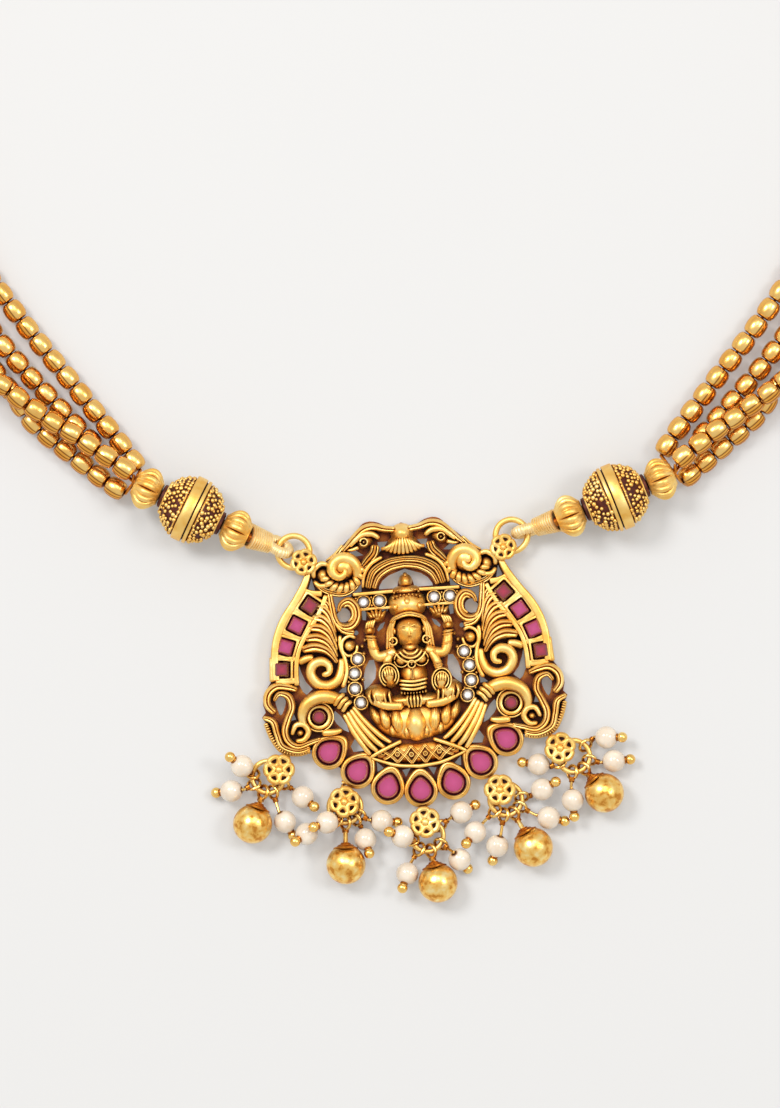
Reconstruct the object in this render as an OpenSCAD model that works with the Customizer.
// Temple jewellery necklace, lying on a table and seen from above: X to the right, Y towards the back of the neck,
// Z up from the table. Lengths are in millimetres and angles in degrees.

/* [Pendant] */
// Width of the pierced pendant over its outer scrolls
pendant_w = 46; // [42:0.5:50]
// Turn of the pendant on the table
pendant_turn = 4.3; // [0:0.1:7]
// Thickness of the casting's back plate
plate_t = 1.5; // [1.2:0.1:2]
// Height of the figure's highest relief above the plate
relief_h = 5; // [4:0.1:6]
// Height of the stone bezels above the plate
bezel_h = 1.8; // [1.5:0.1:2.4]
// Gold wall round a stone
bezel_wall = 0.7; // [0.55:0.05:0.8]

/* [Stones] */
// Width of a pear ruby along the lower edge
pear_w = 3.7; // [3.2:0.1:3.9]
// Side of a square ruby in the side frames
square_w = 2.5; // [2:0.1:2.6]
// Diameter of a round ruby in a curl
round_d = 2.5; // [2:0.1:2.8]
// Diameter of a small white stone
white_d = 1.5; // [1.2:0.1:1.6]
// Height of a stone from its culet side to its table
stone_h = 1.9; // [1.6:0.1:2.4]
// Clearance between a stone and its seat
seat_gap = 0.06; // [0.04:0.01:0.1]

/* [Drops] */
// Diameter of a plain gold ball
ball_d = 5.9; // [5:0.1:6.2]
// Diameter of a pearl
pearl_d = 3.5; // [3.2:0.1:3.6]
// Diameter of the ball cap on a pearl's pin
cap_d = 1.5; // [1.3:0.1:1.6]
// Thickness of a pin's wire
pin_wire = 0.45; // [0.35:0.05:0.5]
// Radius of a flower ring, to the middle of its wire
ring_r = 2.4; // [2.2:0.1:2.6]
// Thickness of a flower ring's wire
ring_wire = 0.8; // [0.7:0.05:0.9]
// Width of a flower over its petals
flower_w = 4.2; // [3.6:0.1:4.4]

/* [Side beads] */
// Diameter of the granulated ball
granulated_d = 10.2; // [9:0.1:11]
// Diameter of a fluted bead
fluted_d = 6.6; // [6:0.1:7]
// Length of a fluted bead along its bore
fluted_l = 4.2; // [3.6:0.1:4.6]
// Diameter of the thread core through the side beads
core_d = 1.6; // [1.2:0.1:1.8]
// Thickness of the wire-wound cord at the shoulder ring
wound_d = 1.7; // [1.5:0.1:1.9]

/* [Strands] */
// Diameter of a gold bead in the strands
bead_d = 3.15; // [2.8:0.05:3.2]
// Length of a gold bead along its bore
bead_l = 2.95; // [2.6:0.05:3.05]
// Thickness of the thread
thread_d = 0.5; // [0.4:0.05:0.6]
// Radius of the hidden round of the loop behind the neck, to the inner strand
loop_r = 69; // [66:0.5:72]
// Length of the plain clasp bar between the strand ends
clasp_l = 12; // [10:0.5:16]
// Height of the clasp bar
clasp_h = 3.4; // [3:0.1:4]

/* [Hidden] */
// small clearance between pieces that touch
touch = 0.12;
// pitch of the beads on their thread
bead_pitch = bead_l + 0.25;
// distance between neighbouring strands where they lie side by side
lane = bead_d + 0.35;
// unit of the ornament's tables: there are 46 of them in the pendant's width
u = pendant_w / 46;
// foot of the relief, sunk in the plate
relief_foot = plate_t - 0.9;
// tops of the bezels and seats above the table
bezel_top = plate_t + bezel_h;
seat_z = plate_t + 0.2;
// point of a pear, from the middle of its round end
pear_tip = 0.62 * pear_w;
// centre lines of the flower rings and of the drops' pins above the table
ring_z = 1.5;
flower_z = ring_z + ring_wire / 2 + 0.95;
flower_t = 1.1;
shoulder_z = ring_z + 1.05;
eye_wire = 0.6;
eye_r = ring_wire / 2 + 0.2 + eye_wire / 2;
// middle and height of the loop's round, from the pendant's centre
loop_mid = [-3.2, 85.4];
bend_r = 50;
// how far the lowest gold ball hangs below the pendant's centre
lowest = 33.45 * u + ball_d / 2;
top_edge = loop_mid.y + loop_r + 3 * lane + bead_d / 2;
// the pendant's centre in the frame, so that the frame's origin is under the middle of the whole necklace
home = [-loop_mid.x, (lowest - top_edge) / 2, 0];

gold = "#c8973f";
bright_gold = "#d9aa4c";
ruby = "#c2407f";
pearl = "#ece4d6";

// Places of the stones, in ornament units: x, y and the direction that the stone's point or side faces
pear_places = [
    [-13.4, -12.95, 36], [-9.3, -16.15, 48], [-4.95, -18.85, 72], [0, -19.65, 90],
    [4.95, -18.85, 108], [9.3, -16.15, 132], [13.4, -12.95, 144]
];
square_places = [[14.55, 9.2, 38], [16.75, 6.4, 31], [18.65, 3.3, 20], [19.5, 0, 4]];
round_place = [14.45, -7.5];
white_places = [[8, 0.7], [8.65, -1.4], [8.75, -3.7], [8, -5.85], [4.1, 9.15], [6.5, 9.15]];

// Drops, in ornament units from the pendant's centre on the table: the flower, the ring, the gold ball, and for each
// of the four pearls its middle, the way its cap faces, how far the cap looks up, and how high the pearl lies
drops = [
    [[-19.85, -16.45], [-21.5, -17.6], [-23.8, -24.6],
        [[-25.4, -15.9, 142, 25, 3.6], [-27, -19.7, 187, -20, 1.9], [-16.3, -20.6, -39, 25, 1.85],
            [-18.95, -24.3, -60, -15, 1.9]]],
    [[-10.05, -21.25], [-9.95, -22.1], [-9.8, -30.7],
        [[-15.7, -26.1, -147, 35, 2.85], [-12.65, -24.35, -162, 32, 4.15], [-4.45, -24.2, -5, -15, 1.9],
            [-6.9, -26.95, -74, 30, 1.85]]],
    [[2.05, -24.3], [2.4, -26.4], [4, -33.45],
        [[-1.35, -26.45, 160, 30, 3.8], [-0.6, -32.1, -109, 25, 1.85], [7.5, -22.9, 28, -15, 2],
            [7.25, -29.95, -50, -40, 2.4]]],
    [[13.25, -19.45], [14.2, -20.95], [18.3, -28.1],
        [[9.6, -25.9, -130, 30, 1.85], [12.9, -27.95, -107, -20, 1.9], [20.6, -23.7, -12, 0, 1.85],
            [19.65, -19.45, 30, 20, 1.85]]],
    [[22.3, -13.2], [24.4, -14.5], [28.95, -19.95],
        [[19.1, -15.7, 173, 0, 1.85], [24.2, -21.05, -84, 0, 2.7], [29.3, -11.65, 1, 20, 1.85],
            [30.4, -15.2, 6, 0, 1.85]]]
];

// Feet of the tabs that carry the drops, on the pendant's lower edge
tab_feet = [[-19.6, -11.9], [-9.9, -17.2], [0, -20.5], [10.2, -17.2], [19.6, -11.9]];

// Shoulder rings, and the way that the wound loop and the three side beads run from them, on the table
shoulder = [16.4, 17.5];
wound_way = [160, 18.5];
bead_way = [154.5, 22.1];
wound_l = 5;
side_z = granulated_d / 2;
// length of the binding round the wound loop, and how far its threads come out before and after the side beads
binding_l = 1.2;
run_in = 1.6;
run_out = 0.2;
// play of a loop round a ring's wire
loop_play = 0.2;

// Routes of the strands from the pendant's centre, as far as the round behind the neck: x, y, z
inner_left = [
    [-40.7, 28.6, 2.4], [-42.4, 30.7, 2.25], [-44.4, 33.4, 2.1], [-47.5, 37.2, 1.75], [-51.4, 42.1, 1.65],
    [-55.5, 47.1, 1.65], [-59.4, 52.1, 1.65], [-64, 58.5, 1.65]
];
near_left = [
    [-47.1, 31.8, 1.65], [-47.8, 32.5, 1.65], [-49.7, 34.4, 1.65], [-51.8, 36.7, 1.65], [-53.9, 38.9, 1.65],
    [-58, 43.4, 1.65], [-61.7, 47.8, 1.65], [-66, 54, 1.65]
];
top_left = [
    [-41.7, 27.8, 5.6], [-45.2, 30.2, 5.6], [-47.8, 31.9, 5.1], [-50.3, 33.7, 4.8], [-53.1, 35.2, 4.5],
    [-55.6, 37, 4.6], [-58.2, 38.7, 4.95], [-61, 41, 4.95], [-66.6, 44.6, 4.4], [-73.4, 52.6, 2.3]
];
outer_left = [
    [-43, 25, 2.9], [-45.2, 26.3, 2.5], [-47.6, 28.1, 1.75], [-49.8, 29.8, 1.65], [-52.2, 31.7, 1.65],
    [-54.6, 33.6, 1.65], [-57.2, 36, 1.65], [-59.5, 39.5, 1.65], [-62.3, 43, 1.65], [-69.6, 53, 1.65]
];
inner_right = [
    [37.5, 30.8, 2.35], [38.7, 32.6, 2.2], [40, 34.5, 2.1], [42.8, 38.2, 1.75], [46.4, 43, 1.65], [50.2, 47.9, 1.65],
    [53.9, 53, 1.65], [57.6, 58.5, 1.65]
];
near_right = [
    [42.8, 32.9, 1.65], [43.6, 33.6, 1.65], [45.3, 35.5, 1.65], [47.1, 37.5, 1.65], [48.8, 39.5, 1.65],
    [52.7, 44.1, 1.65], [56, 48.5, 1.65], [60, 54, 1.65]
];
top_right = [
    [39.6, 29.4, 5.4], [41.6, 31.2, 5.4], [43.6, 32.8, 5], [45.9, 34.6, 4.85], [48.3, 36.2, 4.7], [50.7, 38, 4.7],
    [53.1, 39.7, 4.95], [56, 42, 5], [60.8, 45, 4.4], [67, 52.6, 2.3]
];
outer_right = [
    [40.6, 26.8, 2.7], [43, 28.8, 1.75], [45.3, 30.7, 1.65], [47.7, 32.8, 1.65],
    [50, 34.8, 1.65], [52.4, 37.2, 1.65], [54.4, 40.3, 1.65], [57.4, 44, 1.65], [63.2, 53, 1.65]
];

function unit(v) = v / norm(v);
function turned(p, a) = [p.x * cos(a) - p.y * sin(a), p.x * sin(a) + p.y * cos(a)];
function polar(r, a) = [r * cos(a), r * sin(a)];

// A smooth line through hand-set points, n steps to a stretch
function through(a, b, c, d, t) =
    0.5 * (2 * b + (c - a) * t + (2 * a - 5 * b + 4 * c - d) * t * t + (3 * b - a - 3 * c + d) * t * t * t);
function smooth(p, n) = concat(
    [for (i = [0 : len(p) - 2], j = [0 : n - 1])
        through(p[max(i - 1, 0)], p[i], p[i + 1], p[min(i + 2, len(p) - 1)], j / n)],
    [p[len(p) - 1]]
);
function heading(p, i) = unit(p[min(i + 1, len(p) - 1)] - p[max(i - 1, 0)]);

// Outline of a pear: a circle that swells to a point at +Y
function pear_outline(r, tip, n = 10) =
    [for (i = [0 : n - 1]) let (a = 90 + 360 * i / n)
        [r * cos(a), r * sin(a) + (tip - r) * pow(max(sin(a), 0), 3)]];
function circle_outline(r, n) = [for (i = [0 : n - 1]) polar(r, 360 * (i + 0.5) / n)];
function square_outline(w, cut) =
    [[w, -cut], [w, cut], [cut, w], [-cut, w], [-w, cut], [-w, -cut], [-cut, -w], [cut, -w]] / 2;
function box_outline(w) = [for (s = [[1, -1], [1, 1], [-1, 1], [-1, -1]]) s * w / 2];
function at_height(outline, z, share = 1) = [for (p = outline) [p.x * share, p.y * share, z]];

// A solid through rings of points, each ring seen anticlockwise from the last one
module loft(rings) {
    n = len(rings[0]);
    last = len(rings) - 1;
    polyhedron(
        [for (r = rings) each r],
        concat(
            [[for (i = [0 : n - 1]) i], [for (i = [n - 1 : -1 : 0]) last * n + i]],
            [for (k = [0 : last - 1], i = [0 : n - 1])
                [k * n + i, (k + 1) * n + i, (k + 1) * n + (i + 1) % n, k * n + (i + 1) % n]]
        ),
        convexity = 6
    );
}

// A raised ridge along rows of x, y, width and top, in ornament units and as a share of the relief
module ridge(rows) {
    // a wide band has a flat back, a narrow rib a sharp one
    wide = max([for (r = rows) r[2]]) > 0.95;
    shape = wide ? [[0.5, 0], [0.26, 1], [-0.26, 1], [-0.5, 0]] : [[0.5, 0], [0, 1], [-0.5, 0]];
    flat = [for (r = rows) [r[0] * u, r[1] * u]];
    loft([for (i = [0 : len(rows) - 1])
        let (
            d = heading(flat, i),
            side = [-d.y, d.x] * rows[i][2] * u,
            rise = plate_t + rows[i][3] * relief_h - relief_foot
        )
        [for (s = shape) [flat[i].x + side.x * s.x, flat[i].y + side.y * s.x, relief_foot + s.y * rise]]]);
}

// A round cord through points in space
module cord(points, d, sides) {
    last = len(points) - 1;
    loft([for (i = [0 : last])
        let (way = heading(points, i), a = unit([-way.y, way.x, 0]), b = cross(way, a))
        [for (k = [0 : sides - 1]) let (t = 360 * (k + 0.5) / sides)
            points[i] + (a * cos(t) + b * sin(t)) * d / 2]]);
}

// A rounded knob of the relief: x, y, radii, height above the table, and turn
module knob(x, y, rx, ry, top, turn = 0, n = 8) {
    translate([x * u, y * u, 0]) rotate(turn)
        loft([for (s = [[1, relief_foot], [0.9, plate_t + 0.6 * (top - plate_t)], [0.45, top]])
            [for (p = circle_outline(1, n)) [p.x * rx * u * s[0], p.y * ry * u * s[0], s[1]]]]);
}

module both_sides() {
    children();
    mirror([1, 0, 0]) children();
}

module on_pendant() {
    translate(home) rotate(pendant_turn) children();
}
inner_routes = [inner_left, inner_right];
near_routes = [near_left, near_right];
outer_routes = [outer_left, outer_right];
top_routes = [top_left, top_right];

// The pierced back plate

outline = [
    [0, 20.7], [1.3, 20.2], [2.3, 20.3], [3.4, 20.9], [4.7, 21.2], [5.8, 20.9], [6.6, 20.1], [7.7, 19.1], [8.8, 18.1],
    [9.9, 16.9], [11, 15.9], [11.8, 15.4], [12.8, 15.7], [14.6, 14.6], [15.2, 13.2], [15.5, 12.2], [16.4, 10.9],
    [17.8, 9.2], [19, 7.3], [20, 5.2], [20.7, 3], [21, 1], [21, -1.2], [21.8, -2.5], [22.5, -3.8], [22.7, -5.2],
    [22.4, -6.3], [23, -7], [22.4, -8], [21.9, -9.5], [21.4, -11.2], [20.6, -12.3], [19.2, -12.9], [17.5, -13],
    [16, -12.4], [14, -14], [9.3, -17], [5, -19.5], [0, -20.5]
];
holes = [
    [[2.2, 18], [3.75, 18], [3.55, 16.5], [2.9, 17.1]],
    [[6, 16.2], [7, 16.1], [8.1, 16.6], [8, 17], [7.1, 17]],
    [[13.6, 11.3], [14.75, 11.4], [14.05, 13.3]],
    [[6.5, 13], [7.3, 11.7], [8.3, 10.85], [9.4, 10.45], [11.4, 10.35], [11.35, 8.7], [10.9, 7.3], [10.3, 8],
        [10.55, 8.6], [10.3, 9.3], [9.4, 9.95], [8.3, 10.1], [8.2, 10.5], [6.7, 10.75]],
    [[6.35, 6.4], [6.85, 6.5], [6.9, 7.7], [6.5, 8.1], [6.2, 7.5]],
    [[3.5, 6], [4.2, 5.7], [4.8, 4.9], [4.6, 4.6], [3.9, 5.1]],
    [[5.6, 0.4], [6.3, 0.4], [7, -0.8], [7.4, -2.4], [7.3, -4], [6.5, -3.4], [5.6, -2.4], [5.35, -1]],
    [[17.05, 1], [17.45, -0.6], [17.2, -2.2], [16.6, -3.6], [16.1, -4.1], [15.1, -3.3], [16, -2.2], [16.6, -0.7]],
    [[18.5, -5.9], [17.9, -7.7], [18.9, -7.8]],
    [[12, -6.8], [12.5, -7.6], [11.9, -8.8], [10.9, -9.8], [10.1, -10.2], [10.4, -9], [11.2, -7.6]],
    [[10.05, -12.3], [9.35, -11.2], [8, -13.1], [9.7, -13.2]],
    [[6.35, -14.9], [5.2, -16], [6.3, -16.4]],
    [[2.6, -16.4], [1.3, -16.2], [2.1, -17.5]],
    [[10, -2.9], [11.3, -4.1], [10.1, -4.2]]
];
crown_gap = [[0, 13.7], [1.2, 13.3], [2.4, 12.9], [3.4, 12.2], [4, 11.3], [4.05, 10.9], [1.3, 10.9], [1.1, 11.9],
    [0.7, 12.6], [0, 12.9]];
// round holes: x, y and radius
round_holes = [[9.7, 7.45, 1.1], [3.45, 7.9, 0.5], [7.95, 4.65, 0.35], [9.9, 0.6, 0.4]];

module plate() {
    difference() {
        both_sides() linear_extrude(plate_t)
            polygon([for (p = concat(outline, [[-0.5, -20.5], [-0.5, 20.7]])) p * u]);
        both_sides() {
            for (h = holes) translate([0, 0, -1]) linear_extrude(plate_t + 2) polygon([for (p = h) p * u]);
            translate([0, 0, -1]) linear_extrude(plate_t + 2)
                polygon([for (p = concat(crown_gap, [[-0.1, 12.9], [-0.1, 13.7]])) p * u]);
            for (h = round_holes) translate([h.x * u, h.y * u, -1]) cylinder(plate_t + 2, r = h.z * u, $fn = 10);
            // teardrop eye of the outer scroll
            translate([20.05 * u, -4.9 * u, -1]) rotate(184) linear_extrude(plate_t + 2)
                polygon(pear_outline(0.85 * u, 1.9 * u));
        }
    }
}

// Raised bands and scrolls of one half; each row is x, y, width and top

frame_bands = [
    // outer and inner rail of the side frame
    [[14.6, 14.4, 0.7, 0.3], [15.4, 12.2, 0.8, 0.36], [17.6, 9.1, 0.8, 0.36], [19.6, 5.6, 0.8, 0.36],
        [20.55, 2.2, 0.8, 0.36], [20.6, -1.6, 0.8, 0.36]],
    [[13, 13.2, 0.6, 0.3], [12.8, 10.6, 0.7, 0.36], [14.2, 7.4, 0.6, 0.36], [16.2, 4.3, 0.6, 0.36],
        [17.2, 1.6, 0.6, 0.36], [17.6, -1, 0.6, 0.36], [17.3, -2.8, 0.8, 0.3]],
    // stem between the columns and the leaf
    [[11.6, 10.9, 0.7, 0.4], [11.7, 8.6, 0.9, 0.42], [11.3, 6.4, 0.9, 0.42], [10.2, 5, 1, 0.42],
        [8.4, 4.2, 0.9, 0.4]],
    [[12.3, 10.4, 0.5, 0.3], [12, 7, 0.5, 0.34], [11, 3.6, 0.5, 0.36], [10.1, 0.5, 0.6, 0.36],
        [10.2, -1.8, 0.6, 0.36], [11.6, -3.6, 0.7, 0.36]],
    // top rail of the bar behind the crown
    [[1.8, 10.5, 0.5, 0.36], [8.35, 10.45, 0.5, 0.36]],
    [[2.2, 8.2, 0.5, 0.3], [7.9, 8.3, 0.5, 0.3]]
];
arch_bands = [
    [[0, 15.3, 0.9, 0.5], [2.6, 14.9, 0.9, 0.5], [4.8, 13.6, 0.9, 0.46], [6.1, 11.2, 0.8, 0.4]],
    [[0, 14.4, 0.8, 0.44], [2.4, 13.9, 0.8, 0.44], [4.2, 12.7, 0.8, 0.4], [5.1, 11.1, 0.8, 0.36]],
    [[3.4, 15.6, 0.7, 0.44], [5.3, 14.9, 0.8, 0.44], [6.4, 13.2, 0.7, 0.4]],
    // crest over the bird's head and its neck
    [[1.2, 19.3, 1.2, 0.5], [3.1, 20.2, 1.1, 0.5], [4.9, 20.5, 1.1, 0.5], [6.5, 19.6, 1, 0.46],
        [8, 18.2, 0.9, 0.42], [8.9, 17.2, 0.7, 0.36]],
    [[4.6, 17.6, 1.6, 0.4], [4.7, 16.4, 1.5, 0.4], [5.4, 15.3, 1.3, 0.36]],
    [[8.7, 18.2, 0.7, 0.3], [10, 16.7, 0.7, 0.3], [11.6, 15.5, 0.7, 0.3]]
];
shell_bands = [
    // rim under the shell and its bud
    [[6.4, 14.4, 0.8, 0.3], [7.3, 11.9, 1.1, 0.36], [9.4, 10.7, 1.2, 0.36], [12, 11.4, 1, 0.36],
        [13.4, 13.2, 0.8, 0.32]],
    // open curl at the end of the bar
    [[10.45, 8.5, 0.6, 0.3], [10.2, 9.4, 0.8, 0.36], [9, 9.8, 0.9, 0.4], [8, 8.9, 1, 0.4], [8, 7, 1.1, 0.4],
        [9.2, 5.7, 1.1, 0.4], [10.8, 6.1, 0.9, 0.4]]
];
leaf_bands = [
    [[11.2, 7, 0.5, 0.3], [12.8, 7.5, 0.7, 0.42], [13.9, 7.1, 0.5, 0.36]],
    [[10.9, 5, 0.5, 0.3], [12.9, 6.5, 0.8, 0.46], [14.7, 6.1, 0.6, 0.4]],
    [[10.6, 3, 0.5, 0.3], [12.7, 5.2, 0.9, 0.5], [15.4, 5, 0.7, 0.42]],
    [[10.4, 1.4, 0.5, 0.3], [12.4, 3.9, 0.9, 0.54], [16, 3.8, 0.8, 0.44]],
    [[10.5, 0, 0.5, 0.3], [12.3, 2.5, 1, 0.58], [16.5, 2.4, 0.9, 0.46]],
    // beak-like tip and bottom of the leaf's curl
    [[13, 1.3, 1.2, 0.6], [15, 1.5, 1.1, 0.54], [16.7, 1, 0.5, 0.36]],
    [[10.9, 0.4, 0.8, 0.4], [10.9, -1.8, 1, 0.46], [12.5, -3.2, 1.1, 0.48], [14.6, -2.7, 1, 0.48],
        [15.8, -1.2, 0.9, 0.46]]
];
trunk_bands = [
    // trunk over the round stone, from the collar to its tip
    [[10.9, -5.7, 1.6, 0.5], [12.3, -4.7, 1.8, 0.6], [14.2, -4.5, 1.9, 0.64], [16.2, -5.6, 1.7, 0.6],
        [17, -7.4, 1.2, 0.5], [16.4, -9.1, 0.7, 0.4]],
    [[11.4, -9.6, 0.6, 0.36], [12.8, -9.9, 0.9, 0.4], [14.2, -9.6, 0.8, 0.36]],
    // ribs from the collar down to the basket
    [[10.2, -6.3, 0.7, 0.36], [8.2, -8.9, 0.8, 0.4], [5.9, -11.2, 0.8, 0.4], [4.2, -12.4, 0.6, 0.34]],
    [[10.6, -6.6, 0.7, 0.4], [9, -9.4, 0.9, 0.46], [7.4, -11.7, 0.9, 0.44], [6, -13.2, 0.7, 0.36]],
    [[11, -7, 0.7, 0.36], [9.8, -9.8, 0.8, 0.4], [8.6, -12, 0.8, 0.4], [7.4, -13.7, 0.7, 0.34]],
    // collar where the trunk meets the ribs
    [[9.6, -5.5, 0.6, 0.56], [10.9, -6.9, 0.6, 0.56]], [[10.3, -4.9, 0.6, 0.6], [11.6, -6.2, 0.6, 0.6]]
];
scroll_bands = [
    // big outer scroll, its throat and the small inner curl
    [[17.9, -2.6, 0.8, 0.3], [19.6, -2.4, 1, 0.4], [21.6, -3.1, 1, 0.44], [22.1, -5, 1, 0.44],
        [21, -6.6, 0.9, 0.42]],
    [[21.3, -4.6, 0.7, 0.36], [20.2, -3.5, 0.8, 0.4], [18.7, -4.2, 0.9, 0.44], [18.6, -6, 0.9, 0.44],
        [19.4, -8, 1, 0.44], [19.6, -10.2, 1, 0.42], [18, -11.7, 0.9, 0.4], [15.8, -10.8, 0.8, 0.36],
        [14, -10.6, 0.6, 0.3]],
    [[22.8, -7, 0.5, 0.3], [21.3, -7.8, 0.8, 0.4], [20.7, -9.6, 0.8, 0.4], [19.9, -11.6, 0.8, 0.4],
        [17.8, -12.3, 0.8, 0.36], [16.1, -11.8, 0.6, 0.3]],
    [[18.9, -9.2, 0.6, 0.4], [17.7, -8.3, 0.7, 0.42], [16.6, -9.3, 0.7, 0.42], [17.2, -10.6, 0.7, 0.4],
        [18.6, -10.3, 0.6, 0.36]],
    // ribbed outer lip
    [[22.5, -7.8, 0.7, 0.22], [21.7, -10.2, 0.8, 0.24], [20.3, -12.2, 0.8, 0.24], [18, -12.8, 0.8, 0.24],
        [16.3, -12.5, 0.6, 0.2]]
];
seat_bands = [
    [[6.4, -8.2, 0.8, 0.4], [5.4, -10.2, 1, 0.44], [3, -11.6, 1, 0.46], [0, -12.1, 1, 0.46]]
];
arm_bands = [
    // raised arm from the shoulder over the elbow to the hand
    [[2.6, 1.4, 1.2, 0.5], [4.2, 0.8, 1.2, 0.5], [5.4, 0.9, 1.1, 0.5], [6.2, 2.6, 1.1, 0.5], [6.8, 4.4, 1, 0.5]]
];

module relief_half() {
    for (band = frame_bands) ridge(band);
    for (band = arch_bands) ridge(band);
    for (band = shell_bands) ridge(band);
    for (band = leaf_bands) ridge(band);
    for (band = trunk_bands) ridge(band);
    for (band = scroll_bands) ridge(band);
    for (band = seat_bands) ridge(band);
    for (band = arm_bands) ridge(band);
    knob(9.3, 14.2, 2.2, 2.2, plate_t + 0.6 * relief_h);
    knob(12.45, 13.9, 1.15, 1.15, plate_t + 0.4 * relief_h);
    knob(5.9, 18.3, 1.5, 1, plate_t + 0.46 * relief_h, -35);
    knob(13.4, -0.6, 2.3, 2, plate_t + 0.62 * relief_h);
    knob(9.6, 2.6, 0.8, 0.8, plate_t + 0.42 * relief_h);
    knob(17.6, -9.3, 0.75, 0.75, plate_t + 0.46 * relief_h);
    knob(5, 7, 1.2, 0.9, plate_t + 0.52 * relief_h, 15);
    knob(6.95, 4.9, 0.7, 0.9, plate_t + 0.56 * relief_h);
}

module seat_petal(x, y, w, l, top, turn) {
    translate([x * u, y * u, 0]) rotate(turn)
        loft([for (s = [[1, relief_foot], [0.9, plate_t + 0.6 * top * relief_h], [0.4, plate_t + top * relief_h]])
            [for (p = pear_outline(1, 1.5, 8)) [p.x * w * u * s[0], p.y * l * u * s[0], s[1]]]]);
}

module figure() {
    // crown, head, ears and collar
    knob(0, 11.7, 0.95, 1.25, plate_t + 0.5 * relief_h);
    knob(0, 10.2, 1.8, 0.75, plate_t + 0.62 * relief_h);
    knob(0, 8.9, 2, 1.2, plate_t + 0.72 * relief_h);
    knob(0, 7.2, 2.7, 0.9, plate_t + 0.76 * relief_h);
    knob(0, 4.5, 2, 2.4, plate_t + 0.98 * relief_h, 0, 10);
    knob(0, 0.7, 3, 1.4, plate_t + 0.66 * relief_h);
    knob(0, -2.4, 2.2, 2.4, plate_t + 0.62 * relief_h);
    knob(0, -6, 4.6, 1, plate_t + 0.56 * relief_h);
    // open hand towards the viewer, and the hand on the knee
    knob(-3.4, -2.15, 1.2, 1.85, plate_t + 0.9 * relief_h);
    knob(4.35, -3.7, 1.2, 1.8, plate_t + 0.88 * relief_h, 8);
    both_sides() {
        knob(2.35, 3.7, 0.55, 0.8, plate_t + 0.56 * relief_h, 0, 8);
        knob(3.1, -0.1, 1, 1.2, plate_t + 0.6 * relief_h, 0, 8);
        knob(5.4, -5.1, 1.9, 1.5, plate_t + 0.72 * relief_h, 15);
        knob(2.8, -9.3, 1.15, 1.9, plate_t + 0.56 * relief_h, 7);
        seat_petal(4.7, -9, 1, 1.7, 0.48, 14);
    }
    seat_petal(0, -9.5, 1.9, 2.1, 0.66, 0);
    // flared palmette and dome over the arch
    knob(0, 19.3, 1.75, 1.35, plate_t + 0.56 * relief_h);
    ridge([[0, 18.8, 1.8, 0.5], [0, 17.4, 3.4, 0.46], [0, 15.8, 6.4, 0.36]]);
}

// Crossed bars of the basket band under the seat
module basket() {
    linear_extrude(plate_t + 0.32 * relief_h) for (s = [-1, 1], i = [-2 : 2]) hull() {
        translate([2.3 * i - 1.5 * s, -12.6 + 0.12 * i * i] * u) circle(0.28 * u, $fn = 4);
        translate([2.1 * i + 1.2 * s, -15.5 + 0.22 * i * i] * u) circle(0.28 * u, $fn = 4);
    }
}

module bezel(outline_out, outline_lip) {
    loft([
        at_height(outline_out, 0),
        at_height(outline_out, plate_t + 0.65 * bezel_h),
        at_height(outline_lip, bezel_top)
    ]);
}

module cup(outline) {
    loft([at_height(outline, 0), at_height(outline, bezel_top, 0.95)]);
}

module seat(outline_in) {
    loft([at_height(outline_in, seat_z), at_height(outline_in, bezel_top + relief_h)]);
}

module at_pear(p) {
    translate([p.x * u, p.y * u, 0]) rotate(p.z - 90) children();
}

module at_square(p) {
    translate([p.x * u, p.y * u, 0]) rotate(p.z) children();
}

module at_round() {
    both_sides() translate([round_place.x * u, round_place.y * u, 0]) children();
}

// Six-petalled flower soldered on a ring, and the ring itself
module flower(n = 6, petal_sides = 8) {
    linear_extrude(flower_t * 0.7) {
        for (i = [0 : n - 1]) rotate(360 * i / n) translate([flower_w * 0.31, 0])
            circle(flower_w * 0.19, $fn = petal_sides);
        circle(flower_w * 0.3, $fn = 12);
    }
    translate([0, 0, flower_t * 0.7]) cylinder(flower_t * 0.3, r = flower_w * 0.14, $fn = 12);
}

module wire_ring(r, wire) {
    rotate_extrude($fn = 48) translate([r, 0]) circle(d = wire, $fn = 24);
}

module coarse_ring(r, wire, around, sides = 5) {
    rotate_extrude($fn = around) translate([r, 0]) circle(d = wire, $fn = sides);
}

module shoulder_rings() {
    both_sides() {
        translate([shoulder.x * u, shoulder.y * u, shoulder_z]) coarse_ring(ring_r, ring_wire * 1.15, 10);
        translate([15.1 * u, 16 * u, 0]) cylinder(flower_z, r = 1.15 * u, $fn = 12);
        translate([15 * u, 15.85 * u, flower_z - 0.01]) scale([0.88, 0.88, 1]) flower(6, 6);
        hull() {
            translate([15.1 * u, 16 * u, 0]) cylinder(plate_t, r = 1.2 * u, $fn = 10);
            translate([13.6 * u, 14.6 * u, 0]) cylinder(plate_t, r = 0.9 * u, $fn = 10);
        }
    }
}

// Eyes that carry the drops' rings, each on a tab from the casting's lower edge
module drop_eyes() {
    for (i = [0 : 4]) let (
        d = drops[i] * u,
        way = unit(d[0] - d[1]),
        eye = d[1] + way * ring_r,
        tip = eye + way * (eye_r + 0.35),
        foot = turned(tab_feet[i] * u, pendant_turn)
    ) {
        translate([eye.x, eye.y, ring_z]) rotate(atan2(way.y, way.x)) rotate([90, 0, 0])
            coarse_ring(eye_r, eye_wire, 8, 4);
        translate([0, 0, ring_z - 0.8]) linear_extrude(1.2) hull() {
            translate(tip) circle(0.5, $fn = 6);
            translate(foot) circle(0.9, $fn = 4);
        }
    }
}

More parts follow.
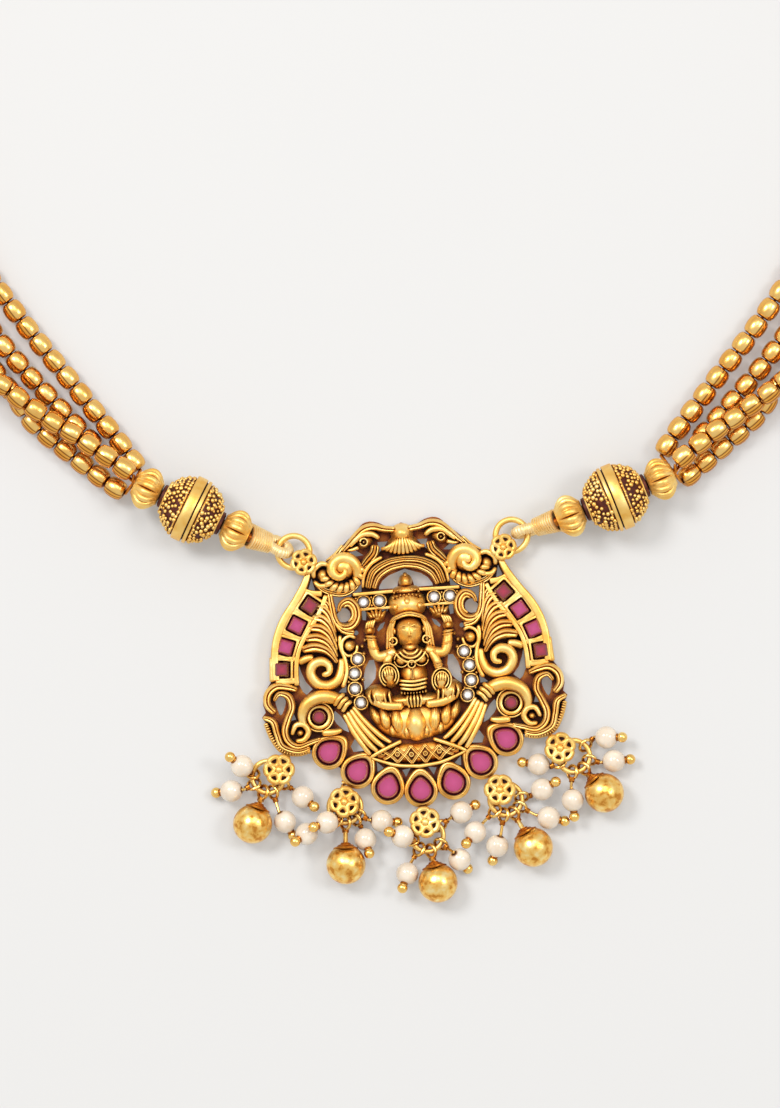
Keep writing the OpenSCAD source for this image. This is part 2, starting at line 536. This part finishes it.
module pendant_casting() {
    color(gold) on_pendant() difference() {
        union() {
            plate();
            both_sides() relief_half();
            figure();
            basket();
            shoulder_rings();
            rotate(-pendant_turn) drop_eyes();
            for (p = pear_places) at_pear(p) bezel(
                pear_outline(pear_w / 2 + bezel_wall, pear_tip + 1.6 * bezel_wall),
                pear_outline(pear_w / 2 + 0.45 * bezel_wall, pear_tip + 0.9 * bezel_wall)
            );
            at_round() bezel(
                circle_outline(round_d / 2 + bezel_wall, 10),
                circle_outline(round_d / 2 + 0.4 * bezel_wall, 10)
            );
            both_sides() for (p = square_places) at_square(p) bezel(
                box_outline(square_w + 1.7 * bezel_wall),
                box_outline(square_w + 0.9 * bezel_wall)
            );
            both_sides() for (p = white_places) translate([p.x * u, p.y * u, 0])
                cup(circle_outline(white_d / 2 + 0.75, 4));
        }
        for (p = pear_places) at_pear(p) seat(pear_outline(pear_w / 2 + seat_gap, pear_tip + seat_gap));
        at_round() seat(circle_outline(round_d / 2 + seat_gap, 10));
        both_sides() for (p = square_places) at_square(p)
            seat(square_outline(square_w + 2 * seat_gap, square_w * 0.8 + seat_gap));
        both_sides() for (p = white_places) translate([p.x * u, p.y * u, 0])
            seat(circle_outline(white_d / 2 + seat_gap, 8));
    }
}

// A cut stone with a flat table and a ring of crown facets, its underside a touch above its seat
module cut_stone(outline_girdle) {
    z = seat_z + 0.04;
    loft([
        at_height(outline_girdle, z, 0.8),
        at_height(outline_girdle, z + 0.5 * stone_h),
        at_height(outline_girdle, z + stone_h, 0.66)
    ]);
}

module pear_ruby(i) {
    color(ruby) on_pendant() at_pear(pear_places[i]) cut_stone(pear_outline(pear_w / 2, pear_tip));
}

module square_ruby(i) {
    color(ruby) on_pendant() mirror([i > 3 ? 1 : 0, 0, 0]) at_square(square_places[i % 4])
        cut_stone(square_outline(square_w, square_w * 0.8));
}

module round_ruby(side) {
    color(ruby) on_pendant() mirror([side < 0 ? 1 : 0, 0, 0]) translate([round_place.x * u, round_place.y * u, 0])
        cut_stone(circle_outline(round_d / 2, 10));
}

module white_stones() {
    color("white") on_pendant() both_sides() for (p = white_places) translate([p.x * u, p.y * u, 0])
        cut_stone(circle_outline(white_d / 2, 8));
}

// Drops: a flower ring carries one gold ball and four pearls on pins

module flower_ring(i) {
    d = drops[i] * u;
    e = unit(d[0] - d[1]);
    color(gold) translate(home) {
        translate([d[1].x, d[1].y, ring_z]) wire_ring(ring_r, ring_wire);
        // flower, and the two short posts that solder it to the ring clear of the eye
        translate([d[0].x, d[0].y, flower_z]) rotate(20 * i) flower();
        for (s = [-1, 1]) let (p = d[1] + turned(e, 26 * s) * ring_r)
            translate([p.x, p.y, ring_z]) cylinder(flower_z - ring_z + 0.2, r = 0.35);
    }
}

module gold_ball(i) {
    d = drops[i] * u;
    way = unit(d[1] - d[2]);
    gap = norm(d[1] - d[2]) - ring_r - ball_d / 2;
    eye = ring_wire / 2 + loop_play + pin_wire / 2;
    color(bright_gold) translate(home + [d[2].x, d[2].y, ball_d / 2]) {
        sphere(d = ball_d, $fn = 48);
        rotate(atan2(way.y, way.x)) {
            translate([ball_d / 2 + gap, 0, ring_z - ball_d / 2]) rotate([90, 0, 0]) wire_ring(eye, pin_wire);
            // neck from the ball up to its eye
            translate([ball_d / 2 - 0.5, 0, ring_z - ball_d / 2]) rotate([0, 90, 0])
                cylinder(gap + 0.5 - eye, d = pin_wire * 1.6, $fn = 24);
        }
    }
}

module pearls(i) {
    color(pearl) translate(home) for (p = drops[i][3]) at_pearl(p) difference() {
        sphere(d = pearl_d, $fn = 48);
        translate([0, 0, -pearl_d]) cylinder(2 * pearl_d, d = pin_wire + 0.3, $fn = 24);
    }
}

// Children's +Z runs along the pin, towards its ball cap
module at_pearl(p) {
    translate([p[0] * u, p[1] * u, p[4]]) rotate([0, 0, p[2]]) rotate([0, 90 - p[3], 0]) children();
}

// A pin from its ball cap through the pearl, then a short link whose loop goes round the ring's wire
module pearl_pin(p, ring) {
    tail_l = pearl_d / 2 + 0.25;
    tail = [p[0], p[1]] * u - polar(tail_l * cos(p[3]), p[2]);
    hub = ring + unit(tail - ring) * ring_r;
    eye = ring_wire / 2 + loop_play + pin_wire / 2;
    start = [tail.x, tail.y, p[4] - tail_l * sin(p[3])];
    end = [hub.x, hub.y, ring_z] + unit([start.x - hub.x, start.y - hub.y, start.z - ring_z]) * eye;
    span = start - end;
    at_pearl(p) {
        translate([0, 0, pearl_d / 2 + cap_d / 2 - 0.08]) sphere(d = cap_d, $fn = 24);
        translate([0, 0, -tail_l]) cylinder(tail_l + (pearl_d + cap_d) / 2 - 0.1, d = pin_wire, $fn = 24);
    }
    translate(end) rotate([0, 0, atan2(span.y, span.x)]) rotate([0, acos(span.z / norm(span)), 0])
        cylinder(norm(span) + 0.2, d = pin_wire * 0.85, $fn = 24);
    translate([hub.x, hub.y, ring_z]) rotate(atan2(tail.y - ring.y, tail.x - ring.x)) rotate([90, 0, 0])
        wire_ring(eye, pin_wire);
}

module pearl_pins(i) {
    color(bright_gold) translate(home) for (p = drops[i][3]) pearl_pin(p, drops[i][1] * u);
}

// Side beads: side is 0 on the left and 1 on the right

function shoulder_at(side) = turned([(side == 0 ? -1 : 1) * shoulder.x, shoulder.y] * u, pendant_turn);
function inner_bead_at(side) = shoulder_at(side) + polar(ring_r + wound_l - 0.3 + fluted_l / 2, wound_way[side]);
side_step = granulated_d / 2 + fluted_l / 2 + touch;
function side_bead_at(side, k) = inner_bead_at(side) + polar(k * side_step, bead_way[side]);

module on_side(side, k) {
    p = side_bead_at(side, k);
    translate(home + [p.x, p.y, side_z]) rotate(bead_way[side]) rotate([0, 90, 0]) children();
}

module fluted_bead(side, k) {
    flutes = 12;
    groove_r = fluted_d * 0.09;
    color(gold) on_side(side, k) difference() {
        rotate_extrude($fn = 48) polygon([
            [core_d / 2 + touch, -fluted_l / 2], [fluted_d * 0.34, -fluted_l / 2], [fluted_d * 0.45, -fluted_l * 0.32],
            [fluted_d / 2, -fluted_l * 0.08], [fluted_d / 2, fluted_l * 0.08], [fluted_d * 0.45, fluted_l * 0.32],
            [fluted_d * 0.34, fluted_l / 2], [core_d / 2 + touch, fluted_l / 2]
        ]);
        for (i = [0 : flutes - 1]) rotate(360 * i / flutes)
            translate([fluted_d / 2 + groove_r * 0.4, 0, -fluted_l]) cylinder(2 * fluted_l, r = groove_r, $fn = 24);
    }
}

module granulated_ball(side) {
    color(gold) on_side(side, 1) difference() {
        union() {
            sphere(d = granulated_d - 0.4, $fn = 64);
            // the plain double band round its middle and the collars at its bore
            for (s = [-1, 1]) translate([0, 0, 0.8 * s - 0.4]) cylinder(0.8, d = granulated_d, $fn = 64);
            for (s = [-1, 1]) translate([0, 0, s * (granulated_d / 2 - 0.5) - 0.5]) cylinder(1, d = 3.4, $fn = 48);
        }
        translate([0, 0, -granulated_d]) cylinder(2 * granulated_d, d = core_d + 2 * touch, $fn = 48);
    }
}

// The wound cord goes through the shoulder ring and back, and its threads run on through the three side beads
module wound_loop(side) {
    lean = [64, 80][side];
    ring = shoulder_at(side);
    hub = ring + polar(ring_r, wound_way[side]);
    start = inner_bead_at(side);
    hub_z = shoulder_z;
    turn_r = ring_wire * 1.15 / 2 + 1.75 * loop_play + wound_d / 2;
    run = norm([start.x - hub.x, start.y - hub.y, side_z - hub_z]);
    tilt = asin((side_z - hub_z) / run);
    color(bright_gold) translate(home) {
        // the loop round the ring's wire, leaning so that one leg lies over the other
        translate([hub.x, hub.y, hub_z]) rotate(wound_way[side]) rotate([0, -tilt, 0]) rotate([lean, 0, 0]) {
            rotate(90) rotate_extrude(angle = 180, $fn = 48) translate([turn_r, 0]) circle(d = wound_d, $fn = 24);
            for (s = [-1, 1]) translate([-0.01, s * turn_r, 0]) rotate([0, 90, 0])
                cylinder(run - fluted_l / 2 - run_in, d = wound_d, $fn = 24);
            translate([run - fluted_l / 2 - run_in - binding_l / 2, 0, 0]) rotate([0, 90, 0])
                cylinder(binding_l, d = 2 * turn_r + 0.6, $fn = 36);
        }
        // threads through the beads
        translate([start.x, start.y, side_z]) rotate(bead_way[side]) rotate([0, 90, 0])
            translate([0, 0, -fluted_l / 2 - run_in])
                cylinder(2 * side_step + fluted_l + run_in + run_out, d = core_d, $fn = 36);
    }
}

// Strands

function loop_arc(off, side) = [
    for (a = [206, 198, 190]) mirrored([-22 + (bend_r + off) * cos(a), loop_mid.y + (bend_r + off) * sin(a)], side),
    for (a = [182.5 : -7.5 : 100]) mirrored(loop_mid + polar(loop_r + off, a), side)
];
function mirrored(p, side) = [side == 0 ? p.x : 2 * loop_mid.x - p.x, p.y, bead_d / 2 + 0.05];
// a strand's last point is short of the clasp bar's end
function strand_end(off, side) =
    [loop_mid.x + (side == 0 ? -1 : 1) * (clasp_l / 2 + 0.45), loop_mid.y + loop_r + off, bead_d / 2 + 0.05];
function strand_line(start, off, side, n = 4) =
    smooth(concat(start, loop_arc(off, side), [strand_end(off, side)]), n);

module strand_tube(start, off, side) {
    color(bright_gold) translate(home) cord(strand_line(start, off, side, 1), bead_d, 8);
}

// distance along a line up to its point i, and the place at a distance
function lengths(p) = [for (i = 0, s = 0; i < len(p); i = i + 1, s = s + (i < len(p) ? norm(p[i] - p[i - 1]) : 0)) s];
function place(p, s, at) = let (
    i = min(len([for (q = s) if (q <= at) q]) - 1, len(p) - 2),
    t = (at - s[i]) / (s[i + 1] - s[i])
) [p[i] + (p[i + 1] - p[i]) * t, unit(p[i + 1] - p[i])];

module gold_bead() {
    bore = thread_d / 2 + 0.25;
    rotate_extrude($fn = 32) polygon([
        [bore, -bead_l / 2], [bead_d * 0.36, -bead_l / 2], [bead_d / 2, -bead_l * 0.22], [bead_d / 2, bead_l * 0.22],
        [bead_d * 0.36, bead_l / 2], [bore, bead_l / 2]
    ]);
}

module strand_beads(start, side) {
    line = strand_line(start, 0, side);
    s = lengths(line);
    count = floor((s[len(s) - 1] - 0.2) / bead_pitch);
    color(bright_gold) translate(home) for (i = [0 : count - 1]) let (q = place(line, s, (i + 0.5) * bead_pitch))
        translate(q[0]) rotate([0, 0, atan2(q[1].y, q[1].x)]) rotate([0, acos(q[1].z), 0]) gold_bead();
}

module strand_thread(start, side) {
    line = strand_line(start, 0, side);
    s = lengths(line);
    count = floor((s[len(s) - 1] - 0.2) / bead_pitch);
    // the thread turns only between two beads, and ends inside the clasp bar's hole
    points = [for (i = [0 : count]) if (i < 30 || i % 2 == 0) place(line, s, i * bead_pitch)[0]];
    last = line[len(line) - 1] + [side == 0 ? 1.5 : -1.5, 0, 0];
    color(bright_gold) translate(home) cord(concat(points, [last]), thread_d, 6);
}

// Hidden at the back of the neck: one bar with a blind hole for each thread
module clasp_bar() {
    w = 3 * lane + bead_d;
    color(gold) translate(home + [loop_mid.x, loop_mid.y + loop_r - bead_d / 2, 0]) difference() {
        translate([-clasp_l / 2, 0, 0.05]) cube([clasp_l, w, clasp_h]);
        for (s = [-1, 1], i = [0 : 3])
            translate([s * clasp_l / 2, bead_d / 2 + i * lane, bead_d / 2 + 0.05]) rotate([0, 90, 0])
                translate([0, 0, -2]) cylinder(4, d = thread_d + 0.5, $fn = 24);
    }
}

pendant_casting();
white_stones();
for (i = [0 : 6]) pear_ruby(i);
for (i = [0 : 7]) square_ruby(i);
round_ruby(-1);  // round_ruby_left
round_ruby(1);  // round_ruby_right
for (i = [0 : 4]) {
    flower_ring(i);
    gold_ball(i);
    pearls(i);
    pearl_pins(i);
}
for (side = [0, 1]) let (name = ["left", "right"][side]) {
    wound_loop(side);
    fluted_bead(side, 0);
    granulated_ball(side);
    fluted_bead(side, 2);
    strand_beads(inner_routes[side], side);
    strand_thread(inner_routes[side], side);
    strand_tube(near_routes[side], lane, side);
    strand_tube(outer_routes[side], 2 * lane, side);
    strand_tube(top_routes[side], 3 * lane, side);
}
clasp_bar();
